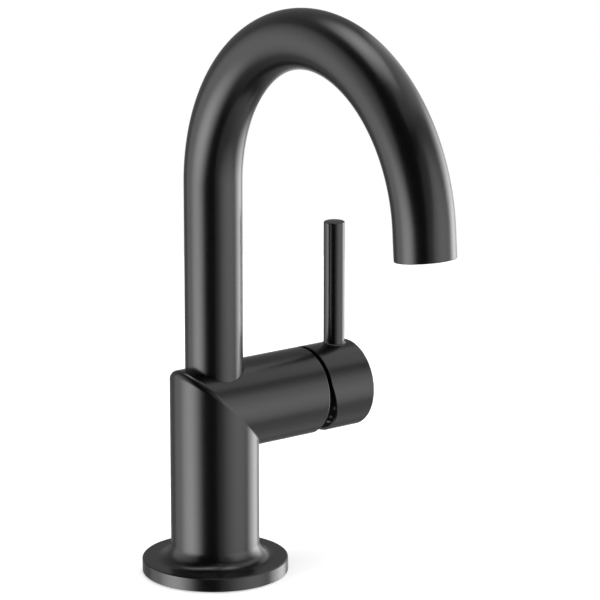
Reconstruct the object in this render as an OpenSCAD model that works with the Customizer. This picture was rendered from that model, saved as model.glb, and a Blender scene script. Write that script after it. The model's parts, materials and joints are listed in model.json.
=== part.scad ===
// Single lever basin faucet with a tall arched spout and a side lever.
// Origin: centre of the foot on the deck. +Z up, the spout reaches to -Y, the lever side is +X.
// All sizes are in millimetres.

/* [Column and foot] */
// Outer diameter of the column and of the side barrel
column_d = 39; // [38:0.5:42]
// Height of the barrel axis above the deck
axis_h = 73.8; // [72:0.2:90]
// Diameter of the foot flange
flange_d = 64.5; // [63:0.5:70]
// Thickness of the foot flange
flange_t = 6.1; // [5:0.1:8]
// Radius of the hollow round between column and flange
foot_round = 7; // [3:0.5:8]
// Chamfer on the rim of the flange
flange_edge = 0.5; // [0.2:0.1:1.5]
// Distance from the column axis to the front rim of the barrel
barrel_reach = 49; // [48:0.5:56]

/* [Spout] */
// Outer diameter of the spout tube
spout_d = 25.4; // [24:0.1:26.5]
// Wall of the spout tube
spout_wall = 1.6; // [1:0.1:2.2]
// Radius of the arch, measured at the middle of the tube
arch_r = 72; // [60:1:110]
// Height where the straight leg turns into the arch
arch_h = 174.5; // [140:0.5:260]
// Angle that the arch turns through
arch_angle = 175.650515; // [165:0.000005:185]
// Straight length after the arch, at the middle of the tube
tail_len = 11.9; // [5.6:0.1:40]
// Angle of the outlet's cut, lower on the side of the column
outlet_cut = 2.8; // [0:0.1:6]
// Depth of the spout socket below the top of the barrel
socket_depth = 13.3; // [11.5:0.1:15]

/* [Handle] */
// Gap between the barrel rim and the back of the handle hub
hub_gap = 1.8; // [1.2:0.1:3]
// Length of the handle hub
hub_len = 23; // [22:0.5:32]
// Wall of the hub around its hollow
hub_wall = 1.1; // [0.9:0.1:3]
// Length of the solid end of the hub
hub_solid = 15.3; // [15:0.1:18]
// Angle of the relief cut on the back of the hub
relief_angle = 13.1; // [10:0.1:20]
// Height above the barrel axis where the relief cut starts
relief_start = 6.4; // [3:0.1:9]
// Diameter of the lever rod
lever_d = 9.4; // [8:0.1:12]
// Height of the lever tip above the deck
lever_top = 148.6; // [120:0.2:190]
// Distance from the hub end to the lever axis
lever_inset = 7.8; // [7.4:0.1:8.4]
// How far the lever tilts outwards, in degrees
tilt_max = 18; // [10:1:18]
// How far the lever turns to each side, in degrees
turn_max = 45; // [20:1:55]

/* [Valve cartridge] */
// Diameter of the cartridge
cartridge_d = 28.4; // [28:0.1:29]
// Thickness of the cartridge base
base_t = 5; // [4:0.5:6]
// Thickness of each ceramic disc
disc_t = 2.5; // [2:0.1:3]
// Diameter of the moving ceramic disc
moving_disc_d = 20.4; // [19.5:0.1:20.6]
// Thickness of the disc carrier
carrier_t = 4; // [3.8:0.1:4.5]
// Diameter of the neck of the rotor
neck_d = 18.8; // [18:0.1:19.2]
// Width of the square stem
stem_w = 8; // [7:0.1:8.4]
// Diameter of the pivot pin
pivot_d = 3; // [2:0.1:3.4]
// Diameter of the hot and cold ways
way_d = 5; // [4:0.1:5.2]
// Diameter of the thread that holds the clamp nut
nut_thread_d = 32; // [31:0.1:33]

/* [Deck fixing] */
// Diameter of the spigot that centres the foot in the deck hole
spigot_d = 33; // [32:0.1:33.4]
// Length of the spigot below the deck surface
spigot_len = 6; // [3:0.5:9]
// Diameter of the bore in the foot that takes the inlet block
foot_bore_d = 33.4; // [32.8:0.1:34]
// Depth of the bore in the foot
foot_bore_len = 30; // [24:1:32]
// Diameter of the threaded hose ports
port_d = 9; // [8:0.1:9.6]
// Depth of the threaded hose ports
port_len = 14; // [10:1:18]
// Distance between the two hose ports
port_pitch = 15; // [14:0.1:15.6]
// Diameter of the mounting stud
stud_d = 7.9; // [6:0.1:8.6]
// Length of stud below the deck surface
stud_drop = 62; // [58:1:90]
// Distance from the column axis to the stud
stud_offset = 9; // [8.6:0.1:9.4]
// Thickest deck that the clamp fits
deck_max = 36; // [30:1:40]
// Diameter of the horseshoe bracket
bracket_d = 50; // [46:1:60]
// Thickness of the horseshoe bracket
bracket_t = 3; // [2:0.5:4]
// Width of the mounting nut across its flats
nut_flats = 13; // [12.4:0.1:15]

/* [Clearances] */
// Radial clearance of a pin or shaft that turns or slides
run_gap = 0.05; // [0.02:0.01:0.1]
// Clearance around a piece that is fixed in its seat
seat_gap = 0.1; // [0.05:0.01:0.15]
// Clearance between faces that slide past each other
slide_gap = 0.2; // [0.1:0.05:0.3]

/* [Hidden] */
$fn = 96;

// Colours
satin_black = [0.10, 0.10, 0.11];
yellow_brass = [0.80, 0.66, 0.36];
bright_steel = [0.72, 0.73, 0.75];
seal_black = [0.14, 0.14, 0.14];
white_ceramic = [0.93, 0.92, 0.90];
grey_plastic = [0.55, 0.56, 0.58];
pale_plastic = [0.86, 0.87, 0.88];

// Small helper length, by which a cut runs past the face that it opens
past = 1;
column_r = column_d / 2;
barrel_top = axis_h + column_r;

// Foot
gasket_inset = 3.75;
gasket_w = 4.5;
gasket_out = flange_d / 2 - gasket_inset;
gasket_in = gasket_out - gasket_w;
gasket_t = 1.2;
block_r = foot_bore_d / 2 - seat_gap;
port_x = 5.5;
foot_way_x = 6.5;
port_seal_w = 1.3;
port_seal_in = way_d / 2 + slide_gap;
port_seal_out = port_seal_in + port_seal_w;
port_seal_t = 1.6;
stud_grip = 12;

// Clamp below the deck
pad_t = 2;
washer_t = 1.6;
washer_r = 8;
mounting_nut_h = 8;
stud_room = 0.35;
stud_hole_r = stud_d / 2 + stud_room;
hose_w = 12;
slot_w = port_pitch + hose_w;
slot_x = -2;
pad_top = -deck_max;
bracket_top = pad_top - pad_t;
washer_top = bracket_top - bracket_t;
nut_top = washer_top - washer_t;

// Ports of the valve, measured from the barrel axis
port_side = 5;
port_up = 3.6;
disc_port_r = 2;
outlet_down = 6.5;
outlet_r = 2.6;
way_inset = 4;
way_end_x = column_r - way_inset;
way_lap = 0.6;

// Spout
spout_r = spout_d / 2;
spout_bore_r = spout_r - spout_wall;
socket_r = spout_r + seat_gap;
socket_z = barrel_top - socket_depth;
throat_r = 9;
throat_sump = 2.7;
throat_z = axis_h - outlet_down - outlet_r - throat_sump;
shank_r = throat_r - run_gap;
shank_down = 3.3;
shank_z = axis_h - shank_down;
shank_bore_r = 5.5;
stub_len = 12;
o_ring_r = 0.8;
o_ring_up = [2.5, 6.3];
o_ring_drop = 0.03;
groove_w = 2 * o_ring_r + 0.3;
screw_side = 30;
set_screw_d = 5;
set_screw_hex = 2.5;
spout_screw_up = 4.5;
spout_screw_z = socket_z + spout_screw_up;
spout_screw_len = 5;

// Outlet, measured along the tail from its open end
insert_lift = 1.5;
insert_band = 5;
insert_len = 11.2;
insert_bore_r = 9.6;
insert_step = 0.7;
insert_sleeve_r = spout_bore_r - insert_step;
shoulder_t = 1.4;
shoulder_r = 7.4;
aerator_lift = 1.8;
aerator_seal_t = 1.5;
aerator_top = insert_lift + insert_len - shoulder_t - aerator_seal_t;
aerator_r = insert_bore_r - seat_gap;
aerator_wall = 1.4;
screen_lift = 0.5;
screen_t = 2;
screen_r = aerator_r - aerator_wall - seat_gap;
screen_cell = 1.9;
screen_web = 0.45;
screen_rings = 3;
regulator_t = 2.4;
screen_gap = 0.8;
regulator_lift = aerator_lift + screen_lift + screen_t + screen_gap;
ledge_r = 6.8;

// Cartridge stack, along the barrel axis and up to the rim of the barrel
rotor_flange_t = 2.2;
lip_t = 2.4;
ring_t = 2;
nut_len = 7;
bonnet_seat = 3;
cartridge_len = base_t + 2 * disc_t + carrier_t + rotor_flange_t + 2 * slide_gap + lip_t;
chamber_x = barrel_reach - bonnet_seat - nut_len - cartridge_len;
base_x = chamber_x + base_t;
disc_x = base_x + disc_t;
carrier_x = disc_x + disc_t;
rotor_x = carrier_x + carrier_t + slide_gap;
lip_x = rotor_x + rotor_flange_t + slide_gap;
shell_end = lip_x + lip_t;
ring_end = shell_end + ring_t;
nut_end = shell_end + nut_len;
pivot_x = ring_end;
chamber_r = cartridge_d / 2 + seat_gap;
shell_bore_r = cartridge_d / 2 - 2;
fixed_disc_r = shell_bore_r - seat_gap;
rotor_flange_r = shell_bore_r - slide_gap;
neck_r = neck_d / 2;
neck_past = 4;
neck_end = pivot_x + neck_past;
seat_seal_w = 0.9;
seat_seal_in = outlet_r + seat_gap;
seat_seal_out = seat_seal_in + seat_seal_w;
seat_seal_t = 1.6;
peg_side = 9;
peg_down = 7;
peg_r = 1.2;
peg_len = 2;

// Stem and the disc that it moves
ball_r = 2;
ball_lift = 0.3;
ball_x = carrier_x + ball_r + ball_lift;
arm_r = 1.3;
arm = pivot_x - ball_x;
disc_travel = arm * sin(tilt_max);
disc_z = -disc_travel / 2;
carrier_side = 8;
pocket_gap = 0.1;
mixing_r = 6;
mixing_depth = 1.4;
mixing_z = -4;
tongue = [0.8, 10, 3];
rock_gap = 0.15;
stem_tail = 4;
stem_back = pivot_x - stem_tail;
pin_gap = 0.02;
pin_sunk = 0.4;

// Temperature stop
lug_half = 7;
lug_t = 1.6;
lug_gap = 0.3;
lug_out = neck_r + lug_t;
ring_wall = 1.4;
ring_slot_r = lug_out + slide_gap;
ring_r = ring_slot_r + ring_wall;
ring_peg_r = 0.9;
ring_peg_len = 1.2;
stop_gap = 1;

// Clamp nut and its cover
nut_bore_r = ring_r + seat_gap;
nut_r = nut_thread_d / 2;
spanner_w = 3;
spanner_depth = 1.6;
bonnet_out = nut_r - seat_gap;
bonnet_room = 0.6;
bonnet_nose = 1.8;
bonnet_hole_r = neck_r + bonnet_room;
bonnet_dome = 4;
bonnet_nose_r = bonnet_hole_r + bonnet_nose;

// Hub
hub_back = barrel_reach + hub_gap;
hub_end = hub_back + hub_len;
hub_hollow_end = hub_end - hub_solid;
hub_bore_r = column_r - hub_wall;
hub_edge = 0.4;
lever_x = hub_end - lever_inset;
lever_r = lever_d / 2;
lever_seat = 16;
lever_edge = 0.5;
tenon_r = 3;
tenon_len = 6.5;
stem_short = 1;
stem_end = lever_x - stem_short;
grub_back = 4;
grub_x = lever_x - grub_back;
grub_len = 8;
grub_gap = 0.03;
plug_r = 3;
plug_t = 2.1;
plug_stub_r = 2.2;
plug_stub_len = 3;

// A cylinder from point a to point b
module bar(a, b, r) {
    d = b - a;
    translate(a) rotate([0, acos(d[2] / norm(d)), atan2(d[1], d[0])]) cylinder(r = r, h = norm(d));
}

// A ring about Z
module ring(r_in, r_out, h) {
    difference() {
        cylinder(r = r_out, h = h);
        translate([0, 0, -past]) cylinder(r = r_in, h = h + 2 * past);
    }
}

// Children are drawn about Z and laid along the barrel axis, starting at x
module on_axis(x = 0) {
    translate([x, 0, axis_h]) rotate([0, 90, 0]) children();
}

// A hexagon socket set screw along Z, its point at the origin and its socket up
module set_screw(length) {
    difference() {
        cylinder(r = set_screw_d / 2 - run_gap, h = length);
        translate([0, 0, length / 2])
            cylinder(r = set_screw_hex / 2 / cos(30), h = length, $fn = 6);
    }
}

// Half space on the column side of the elbow seam, or on its barrel side
module seam_side(towards_barrel) {
    big = 4 * barrel_reach;
    translate([0, 0, axis_h]) rotate([0, -45, 0])
        translate([towards_barrel ? 0 : -big, -big, -big]) cube([big, 2 * big, 2 * big]);
}

// Outline of the foot and the column, to the right of their axis
module column_outline() {
    flange_r = flange_d / 2;
    round_x = column_r + foot_round;
    round_y = flange_t + foot_round;
    square([column_r, barrel_top + past]);
    polygon([[0, 0], [flange_r, 0], [flange_r, flange_t - flange_edge],
             [flange_r - flange_edge, flange_t], [0, flange_t]]);
    difference() {
        translate([0, flange_t]) square([round_x, foot_round]);
        translate([round_x, round_y]) circle(foot_round);
    }
}

module barrel_outline() {
    edge = 0.4;
    polygon([[0, -2 * column_r], [column_r, -2 * column_r], [column_r, barrel_reach - edge],
             [column_r - edge, barrel_reach], [0, barrel_reach]]);
}

// Place of the spout's set screw, its axis along Z and its point inwards
module at_spout_screw(from_axis) {
    translate([0, 0, spout_screw_z]) rotate([0, 0, screw_side]) rotate([-90, 0, 0])
        translate([0, 0, from_axis]) children();
}

// A way for water, from the foot bore up to the chamber floor
module supply_way(side) {
    low = [foot_way_x, side * port_pitch / 2, foot_bore_len - past];
    high = [way_end_x, side * port_side, axis_h + port_up];
    up = (high - low) / norm(high - low);
    bar(low, high + up * (disc_port_r + way_lap), way_d / 2);
    bar(high, high + [chamber_x - way_end_x + past, 0, 0], disc_port_r);
}

// The ways to the valve, and the spout's socket, throat and set screw: the seam cuts through all of them
module elbow_bores() {
    supply_way(-1);
    supply_way(1);
    translate([0, 0, socket_z]) cylinder(r = socket_r, h = barrel_top);
    translate([0, 0, throat_z]) cylinder(r = throat_r, h = barrel_top);
    at_spout_screw(0) cylinder(r = set_screw_d / 2, h = column_d);
}

// Foot and upright half of the elbow
module column() {
    color(satin_black) difference() {
        intersection() {
            rotate_extrude() column_outline();
            seam_side(false);
        }
        elbow_bores();
        // groove of the gasket
        translate([0, 0, -past]) ring(gasket_in, gasket_out, gasket_t + past);
        // bore for the inlet block
        translate([0, 0, -past]) cylinder(r = foot_bore_d / 2, h = foot_bore_len + past);
    }
}

// Side half of the elbow, with the chamber of the cartridge
module barrel() {
    color(satin_black) difference() {
        intersection() {
            on_axis() rotate_extrude() barrel_outline();
            seam_side(true);
        }
        elbow_bores();
        // way from the valve to the throat
        on_axis() translate([outlet_down, 0, 0]) cylinder(r = outlet_r, h = chamber_x + past);
        // chamber of the cartridge and thread of its nut
        on_axis(chamber_x) cylinder(r = chamber_r, h = barrel_reach);
        on_axis(shell_end) cylinder(r = nut_r + run_gap, h = barrel_reach);
        for (side = [-1, 1]) on_axis(chamber_x - peg_len - slide_gap)
            translate([peg_down, side * peg_side, 0])
                cylinder(r = peg_r + seat_gap, h = peg_len + slide_gap + past);
    }
}

module base_gasket() {
    color(seal_black) ring(gasket_in + seat_gap, gasket_out - seat_gap, gasket_t);
}

module inlet_block() {
    top = foot_bore_len - seat_gap;
    color(yellow_brass) difference() {
        union() {
            cylinder(r = block_r, h = top);
            translate([0, 0, -spigot_len]) cylinder(r = spigot_d / 2, h = spigot_len);
        }
        for (side = [-1, 1]) {
            translate([port_x, side * port_pitch / 2, -spigot_len - past])
                cylinder(r = port_d / 2, h = port_len + past);
            translate([foot_way_x, side * port_pitch / 2, -spigot_len])
                cylinder(r = way_d / 2, h = top + spigot_len + past);
            translate([foot_way_x, side * port_pitch / 2, foot_bore_len - port_seal_t])
                cylinder(r = port_seal_out + seat_gap, h = port_seal_t);
        }
        translate([-stud_offset, 0, -spigot_len - past])
            cylinder(r = stud_d / 2 + run_gap, h = stud_grip + spigot_len + slide_gap + past);
    }
}

module port_seals() {
    color(seal_black) for (side = [-1, 1])
        translate([foot_way_x, side * port_pitch / 2, foot_bore_len - port_seal_t])
            ring(port_seal_in, port_seal_out, port_seal_t);
}

module mounting_stud() {
    edge = 0.8;
    color(bright_steel) translate([-stud_offset, 0, -stud_drop]) {
        cylinder(r1 = stud_d / 2 - edge, r2 = stud_d / 2, h = edge);
        translate([0, 0, edge]) cylinder(r = stud_d / 2, h = stud_drop + stud_grip - edge);
    }
}

// Plate with an open slot for the hoses and a hole for the stud
module horseshoe(thickness) {
    difference() {
        cylinder(r = bracket_d / 2, h = thickness);
        translate([slot_x, -slot_w / 2, -past]) cube([bracket_d, slot_w, thickness + 2 * past]);
        translate([-stud_offset, 0, -past]) cylinder(r = stud_hole_r, h = thickness + 2 * past);
    }
}

module horseshoe_bracket() {
    color(bright_steel) translate([0, 0, washer_top]) horseshoe(bracket_t);
}

module bracket_pad() {
    color(seal_black) translate([0, 0, bracket_top]) horseshoe(pad_t);
}

module stud_washer() {
    color(bright_steel) translate([-stud_offset, 0, nut_top]) ring(stud_hole_r, washer_r, washer_t);
}

module mounting_nut() {
    color(yellow_brass) translate([-stud_offset, 0, nut_top - mounting_nut_h]) difference() {
        cylinder(r = nut_flats / 2 / cos(30), h = mounting_nut_h, $fn = 6);
        translate([0, 0, -past]) cylinder(r = stud_d / 2 + run_gap, h = mounting_nut_h + 2 * past);
    }
}

// Section of the spout tube
module tube_section() {
    difference() {
        circle(spout_r);
        circle(spout_bore_r);
    }
}

// Children stand at the open end of the spout, +Z pointing up into the tube.
// The sine and cosine of arch_angle, 0.07584 and -0.99712, have five decimals, so that the turned
// tail meets the arch exactly and the tube is one solid. Most other angles part it in two.
module at_outlet() {
    translate([0, -arch_r, arch_h]) rotate([arch_angle, 0, 0])
        translate([0, arch_r, tail_len]) rotate([180, 0, 0]) children();
}

module spout_tube() {
    spare = 2;
    big = 4 * spout_d;
    color(satin_black) {
        translate([0, 0, socket_z]) linear_extrude(arch_h - socket_z) tube_section();
        translate([0, -arch_r, arch_h]) rotate([90, 0, 90])
            rotate_extrude(angle = arch_angle) translate([arch_r, 0]) tube_section();
        at_outlet() difference() {
            translate([0, 0, -spare]) linear_extrude(tail_len + spare) tube_section();
            rotate([-outlet_cut, 0, 0]) translate([-big / 2, -big / 2, -big]) cube(big);
        }
    }
}

module spout_shank() {
    color(yellow_brass) difference() {
        union() {
            translate([0, 0, shank_z]) cylinder(r = shank_r, h = socket_z - shank_z);
            translate([0, 0, socket_z]) cylinder(r = spout_bore_r - seat_gap, h = stub_len);
        }
        translate([0, 0, shank_z - past])
            cylinder(r = shank_bore_r, h = socket_z - shank_z + stub_len + 2 * past);
        for (up = o_ring_up) translate([0, 0, shank_z + up - groove_w / 2])
            ring(throat_r - o_ring_drop - 2 * o_ring_r - run_gap, throat_r + past, groove_w);
    }
}

module spout_o_rings() {
    color(seal_black) for (up = o_ring_up) translate([0, 0, shank_z + up])
        rotate_extrude() translate([throat_r - o_ring_drop - o_ring_r, 0]) circle(o_ring_r);
}

module spout_set_screw() {
    color(bright_steel) at_spout_screw(spout_r + run_gap) set_screw(spout_screw_len);
}

module outlet_insert() {
    color(yellow_brass) at_outlet() translate([0, 0, insert_lift]) difference() {
        union() {
            cylinder(r = spout_bore_r - run_gap, h = insert_band);
            cylinder(r = insert_sleeve_r, h = insert_len);
        }
        translate([0, 0, -past]) cylinder(r = insert_bore_r, h = insert_len - shoulder_t + past);
        cylinder(r = shoulder_r, h = insert_len + past);
    }
}

module aerator_housing() {
    bore_r = aerator_r - aerator_wall;
    color(grey_plastic) at_outlet() translate([0, 0, aerator_lift]) difference() {
        cylinder(r = aerator_r, h = aerator_top - aerator_lift);
        translate([0, 0, -past]) cylinder(r = ledge_r, h = aerator_top + past);
        translate([0, 0, screen_lift])
            cylinder(r = bore_r, h = regulator_lift + regulator_t - aerator_lift - screen_lift);
    }
}

// Six sided cells around a middle one
module aerator_screen() {
    pitch = screen_cell + screen_web;
    color(grey_plastic) at_outlet() translate([0, 0, aerator_lift + screen_lift]) difference() {
        cylinder(r = screen_r, h = screen_t);
        for (i = [-screen_rings : screen_rings], j = [-screen_rings : screen_rings])
            if (abs(i + j) <= screen_rings)
                translate([pitch * (i + j / 2), pitch * j * sin(60), -past])
                    rotate([0, 0, 30])
                        cylinder(r = screen_cell / 2 / cos(30), h = screen_t + 2 * past, $fn = 6);
    }
}

module flow_regulator() {
    slots = 8;
    color(pale_plastic) at_outlet() translate([0, 0, regulator_lift]) difference() {
        cylinder(r = screen_r, h = regulator_t);
        for (i = [0 : slots - 1]) rotate([0, 0, 360 * i / slots])
            translate([screen_r - 3, 0, -past]) cylinder(r = 0.8, h = regulator_t + 2 * past);
    }
}

module aerator_seal() {
    color(seal_black) at_outlet() translate([0, 0, aerator_top])
        ring(shoulder_r, aerator_r, aerator_seal_t);
}

// Children stand at each port of the cartridge, along the barrel axis from x
module at_supply_ports(x) {
    for (side = [-1, 1]) on_axis(x) translate([-port_up, side * port_side, 0]) children();
}

module at_outlet_port(x) {
    on_axis(x) translate([outlet_down, 0, 0]) children();
}

module cartridge_base() {
    color(pale_plastic) difference() {
        union() {
            on_axis(chamber_x) cylinder(r = cartridge_d / 2, h = base_t);
            for (side = [-1, 1]) on_axis(chamber_x - peg_len)
                translate([peg_down, side * peg_side, 0]) cylinder(r = peg_r, h = peg_len + past);
        }
        at_supply_ports(chamber_x - past) cylinder(r = disc_port_r, h = base_t + 2 * past);
        at_outlet_port(chamber_x - past) cylinder(r = outlet_r, h = base_t + 2 * past);
        at_supply_ports(chamber_x - past) cylinder(r = seat_seal_out + seat_gap, h = seat_seal_t + past);
        at_outlet_port(chamber_x - past) cylinder(r = seat_seal_out + seat_gap, h = seat_seal_t + past);
    }
}

module seat_seals() {
    color(seal_black) {
        at_supply_ports(chamber_x) ring(seat_seal_in, seat_seal_out, seat_seal_t);
        at_outlet_port(chamber_x) ring(seat_seal_in, seat_seal_out, seat_seal_t);
    }
}

module fixed_disc() {
    color(white_ceramic) difference() {
        on_axis(base_x) cylinder(r = fixed_disc_r, h = disc_t);
        at_supply_ports(base_x - past) cylinder(r = disc_port_r, h = disc_t + 2 * past);
        at_outlet_port(base_x - past) cylinder(r = outlet_r, h = disc_t + 2 * past);
    }
}

// Block that keys the carrier to the moving disc, standing on the disc face
module key(clear) {
    translate([carrier_x - tongue[0] - clear, -tongue[1] / 2 - clear, axis_h + mixing_z - tongue[2] / 2 - clear])
        cube([tongue[0] + 2 * clear, tongue[1] + 2 * clear, tongue[2] + 2 * clear]);
}

module moving_disc() {
    color(white_ceramic) difference() {
        on_axis(disc_x) translate([-disc_z, 0, 0]) cylinder(r = moving_disc_d / 2, h = disc_t);
        on_axis(disc_x - past) translate([-mixing_z, 0, 0]) cylinder(r = mixing_r, h = mixing_depth + past);
        key(pocket_gap);
    }
}

module disc_carrier() {
    pocket = ball_r + pocket_gap;
    color(grey_plastic) {
        difference() {
            intersection() {
                on_axis(carrier_x) translate([-disc_z, 0, 0])
                    cylinder(r = moving_disc_d / 2, h = carrier_t);
                translate([carrier_x - past, -carrier_side, 0])
                    cube([carrier_t + 2 * past, 2 * carrier_side, 2 * axis_h]);
            }
            translate([carrier_x - past, -pocket, axis_h - pocket])
                cube([carrier_t + 2 * past, 2 * pocket, 2 * pocket]);
        }
        key(0);
    }
}

module cartridge_shell() {
    color(pale_plastic) difference() {
        on_axis(base_x) cylinder(r = cartridge_d / 2, h = shell_end - base_x);
        on_axis(base_x - past) cylinder(r = shell_bore_r, h = lip_x - base_x + past);
        on_axis(base_x) cylinder(r = neck_r + run_gap, h = shell_end);
        on_axis(shell_end - ring_peg_len - slide_gap) translate([-ring_slot_r, 0, 0])
            cylinder(r = ring_peg_r + seat_gap, h = 2 * ring_peg_len);
    }
}

// Slot that the stem rocks in, cut from the side of the barrel
module rocking_slot() {
    half = stem_w / 2 + rock_gap;
    tall = half / cos(tilt_max);
    rise = tan(tilt_max);
    out = neck_end - pivot_x + past;
    back = pivot_x - rotor_x + past;
    translate([pivot_x, half, axis_h]) rotate([90, 0, 0]) linear_extrude(2 * half)
        polygon([[-back, -half], [0, -tall], [out, -out * rise - tall], [out, half],
                 [0, tall], [-back, back * rise + tall]]);
}

// Rotor: flange behind the lip, neck for the stem, ears that guide the carrier, stop lug
module stem_rotor() {
    ear_in = carrier_side + seat_gap;
    ear_x = carrier_x + 0.5;
    ear_half = 5;
    color(grey_plastic) difference() {
        union() {
            on_axis(rotor_x) cylinder(r = rotor_flange_r, h = rotor_flange_t);
            on_axis(rotor_x) cylinder(r = neck_r, h = neck_end - rotor_x);
            intersection() {
                on_axis(ear_x) cylinder(r = rotor_flange_r, h = rotor_x - ear_x + past / 2);
                for (side = [-1, 1]) translate([ear_x, side > 0 ? ear_in : -2 * ear_in, axis_h - ear_half])
                    cube([rotor_x - ear_x + past / 2, ear_in, 2 * ear_half]);
            }
            on_axis(shell_end + lug_gap) rotate([0, 0, -lug_half])
                rotate_extrude(angle = 2 * lug_half) translate([neck_r - past, 0])
                    square([lug_out - neck_r + past, ring_t - 2 * lug_gap]);
        }
        rocking_slot();
        translate([pivot_x, neck_r + past, axis_h]) rotate([90, 0, 0])
            cylinder(r = pivot_d / 2 + pin_gap, h = 2 * (neck_r + past));
    }
}

module pivot_pin() {
    half = neck_r - pin_sunk;
    color(bright_steel) translate([pivot_x, half, axis_h]) rotate([90, 0, 0])
        cylinder(r = pivot_d / 2, h = 2 * half);
}

// Ring with the slot that the rotor's lug turns in
module limit_ring() {
    half = turn_max + lug_half + stop_gap;
    color(pale_plastic) {
        difference() {
            on_axis(shell_end) cylinder(r = ring_r, h = ring_t);
            on_axis(shell_end - past) cylinder(r = neck_r + seat_gap, h = ring_t + 2 * past);
            on_axis(shell_end - past) rotate([0, 0, -half])
                rotate_extrude(angle = 2 * half) square([ring_slot_r, ring_t + 2 * past]);
        }
        on_axis(shell_end - ring_peg_len) translate([-ring_slot_r, 0, 0])
            cylinder(r = ring_peg_r, h = ring_peg_len + ring_t / 2);
    }
}

module clamp_nut() {
    color(yellow_brass) difference() {
        on_axis(shell_end) cylinder(r = nut_r, h = nut_len);
        on_axis(shell_end - past) cylinder(r = nut_bore_r, h = nut_len + 2 * past);
        for (turn = [0, 90]) on_axis(nut_end - spanner_depth) rotate([0, 0, turn])
            translate([-spanner_w / 2, -nut_thread_d, 0]) cube([spanner_w, 2 * nut_thread_d, nut_len]);
    }
}

module bonnet_cover() {
    top = bonnet_seat + bonnet_dome;
    color(satin_black) on_axis(nut_end) rotate_extrude()
        polygon([[bonnet_hole_r, 0], [bonnet_out, 0], [bonnet_out, bonnet_seat],
                 [bonnet_nose_r, top], [bonnet_hole_r, top]]);
}

module stem() {
    half = stem_w / 2;
    color(bright_steel) difference() {
        union() {
            translate([stem_back, -half, axis_h - half]) cube([stem_end - stem_back, stem_w, stem_w]);
            on_axis(ball_x) cylinder(r = arm_r, h = stem_back - ball_x + past);
            translate([ball_x, 0, axis_h]) sphere(ball_r);
        }
        translate([pivot_x, half + past, axis_h]) rotate([90, 0, 0])
            cylinder(r = pivot_d / 2 + run_gap, h = stem_w + 2 * past);
    }
}

// Outline of the hub about the barrel axis, from its back to its end
module hub_outline() {
    polygon([[0, 0], [column_r, 0], [column_r, hub_len - hub_edge], [column_r - hub_edge, hub_len],
             [0, hub_len]]);
}

module handle_hub() {
    socket = stem_w / 2 + run_gap;
    big = 2 * column_d;
    color(satin_black) difference() {
        on_axis(hub_back) rotate_extrude() hub_outline();
        on_axis(hub_back - past) cylinder(r = hub_bore_r, h = hub_hollow_end - hub_back + past);
        // relief that lets the hub tilt down past the barrel rim
        translate([hub_back, 0, axis_h + relief_start]) rotate([0, -relief_angle, 0])
            translate([-big, -big, -big]) cube([big, 2 * big, big]);
        // socket of the stem
        translate([hub_hollow_end - past, -socket, axis_h - socket])
            cube([stem_end + slide_gap - hub_hollow_end + past, 2 * socket, 2 * socket]);
        // seat and thread of the lever
        translate([lever_x, 0, axis_h + lever_seat]) cylinder(r = lever_r + run_gap, h = column_r);
        translate([lever_x, 0, axis_h + lever_seat - tenon_len - slide_gap])
            cylinder(r = tenon_r, h = tenon_len + column_r);
        // thread of the set screw and seat of its plug
        translate([grub_x, 0, axis_h - big]) cylinder(r = set_screw_d / 2, h = big - stem_w / 2 + past);
        translate([grub_x, 0, axis_h - big])
            cylinder(r = plug_r + run_gap, h = big - column_r + plug_t);
    }
}

module lever_rod() {
    tip = lever_top - axis_h - lever_seat;
    color(satin_black) translate([lever_x, 0, axis_h + lever_seat]) {
        cylinder(r = lever_r, h = tip - lever_edge);
        translate([0, 0, tip - lever_edge])
            cylinder(r1 = lever_r, r2 = lever_r - lever_edge, h = lever_edge);
        translate([0, 0, -tenon_len]) cylinder(r = tenon_r - run_gap, h = tenon_len);
    }
}

module hub_set_screw() {
    color(bright_steel) translate([grub_x, 0, axis_h - stem_w / 2 - grub_gap]) rotate([180, 0, 0])
        set_screw(grub_len);
}

module hub_plug() {
    color(satin_black) translate([grub_x, 0, 0]) {
        intersection() {
            translate([0, 0, axis_h - column_r - past]) cylinder(r = plug_r, h = plug_t + past);
            translate([-plug_r - past, 0, axis_h]) rotate([0, 90, 0])
                cylinder(r = column_r, h = 2 * (plug_r + past));
        }
        translate([0, 0, axis_h - column_r + plug_t / 2])
            cylinder(r = plug_stub_r, h = plug_stub_len + plug_t / 2);
    }
}

column();
barrel();
base_gasket();
inlet_block();
port_seals();
mounting_stud();
horseshoe_bracket();
bracket_pad();
stud_washer();
mounting_nut();
spout_tube();
spout_shank();
spout_o_rings();
spout_set_screw();
outlet_insert();
aerator_housing();
aerator_screen();
flow_regulator();
aerator_seal();
cartridge_base();
seat_seals();
fixed_disc();
moving_disc();
disc_carrier();
cartridge_shell();
stem_rotor();
pivot_pin();
limit_ring();
clamp_nut();
bonnet_cover();
stem();
handle_hub();
lever_rod();
hub_set_screw();
hub_plug();
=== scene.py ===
"""Visual model of a single lever basin faucet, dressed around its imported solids.

Lengths are in millimetres, as on a drawing, until Shape.piece() turns a mesh into metres.
The origin is the centre of the foot on the deck. +Z is up, the spout reaches to -Y and the
lever side is +X.
"""
import json
import logging
from dataclasses import dataclass, field
from enum import Enum
from math import ceil, cos, pi, radians, sin, sqrt, tan

import bmesh
import bpy
from bmesh.types import BMEdge, BMVert
from bpy.types import Material, Node, NodeSocket, NodeTree, Object
from mathutils import Matrix, Quaternion, Vector


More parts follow.
